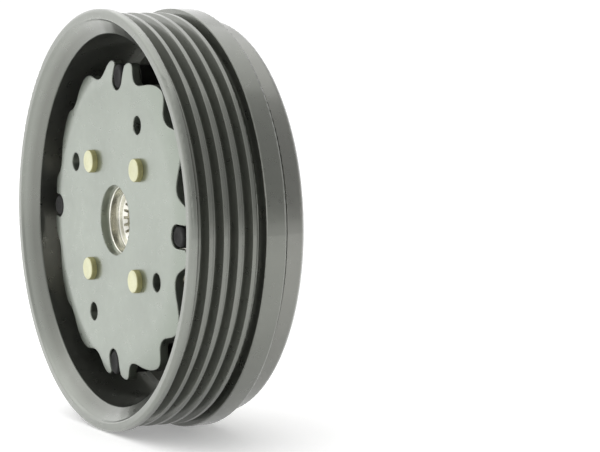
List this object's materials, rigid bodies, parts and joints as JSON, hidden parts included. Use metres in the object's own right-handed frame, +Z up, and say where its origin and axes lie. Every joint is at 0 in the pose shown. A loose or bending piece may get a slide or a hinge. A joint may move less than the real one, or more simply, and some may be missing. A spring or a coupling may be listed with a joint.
{
  "type": "compressor drive pulley and clutch hub",
  "caption": "Ribbed belt pulley on a nose bearing, with a closed-back dish and a slotted drive plate riveted to a splined hub that its pins turn through rubber bushes.",
  "frame": {"origin": "on the axis of rotation, at the middle of the bearing's bore, where the compressor's nose holds the unit", "axes": "+Y along the axis of rotation from the front (drive plate) to the rear (compressor side), +Z up"},
  "size_m": [0.0982, 0.04, 0.0982],
  "materials": {
    "coated_steel_rim": "semi-gloss dark grey conversion coating",
    "coated_steel_dish": "semi-gloss dark grey conversion coating",
    "coated_plate": "semi-gloss dark grey coating",
    "black_steel": "dark satin",
    "machined_steel": "turned and broached",
    "bearing_steel": "ground and polished",
    "zinc_yellow": "yellow-passivated zinc on steel, peened",
    "rubber": "satin moulded rubber",
    "seal_rubber": "satin moulded rubber on a steel washer",
    "cage_polymer": "moulded polyamide",
    "spring_steel": "phosphated spring steel"
  },
  "bodies": {
    "inner_race": {"bearing_inner_ring": "bearing_steel"},
    "pulley": {"pulley_rim": "coated_steel_rim", "rotor_dish": "coated_steel_dish", "bearing_outer_ring": "bearing_steel", "bearing_seal_front": "seal_rubber", "bearing_seal_rear": "seal_rubber", "bearing_retaining_clip": "spring_steel", "drive_pin_1": "zinc_yellow", "drive_pin_2": "zinc_yellow", "drive_pin_3": "zinc_yellow", "drive_pin_4": "zinc_yellow", "damper_bush_1": "rubber", "damper_bush_2": "rubber", "damper_bush_3": "rubber", "damper_bush_4": "rubber"},
    "ball_set": {"balls_front_row": "bearing_steel", "balls_rear_row": "bearing_steel", "ball_cage_front": "cage_polymer", "ball_cage_rear": "cage_polymer"},
    "hub": {"drive_plate": "coated_plate", "splined_hub": "machined_steel", "hub_rivet_1": "zinc_yellow", "hub_rivet_2": "zinc_yellow", "hub_rivet_3": "zinc_yellow", "hub_rivet_4": "zinc_yellow"}
  },
  "joints": [
    {"name": "pulley_spin", "type": "hinge", "parent": "inner_race", "child": "pulley", "pos_m": [0, 0, 0], "axis": [0, 1, 0], "continuous": true},
    {"name": "cage_spin", "type": "hinge", "parent": "inner_race", "child": "ball_set", "pos_m": [0, 0, 0], "axis": [0, 1, 0], "continuous": true},
    {"name": "hub_windup", "type": "hinge", "parent": "pulley", "child": "hub", "pos_m": [0, -0.0235, 0], "axis": [0, 1, 0], "range_deg": [-1.5, 1.5], "stiffness_Nm_per_rad": 2, "deforming": ["damper_bush_1", "damper_bush_2", "damper_bush_3", "damper_bush_4"]}
  ],
  "couplings": [
    {"joint": "cage_spin", "follows": "pulley_spin", "ratio": 0.56}
  ]
}
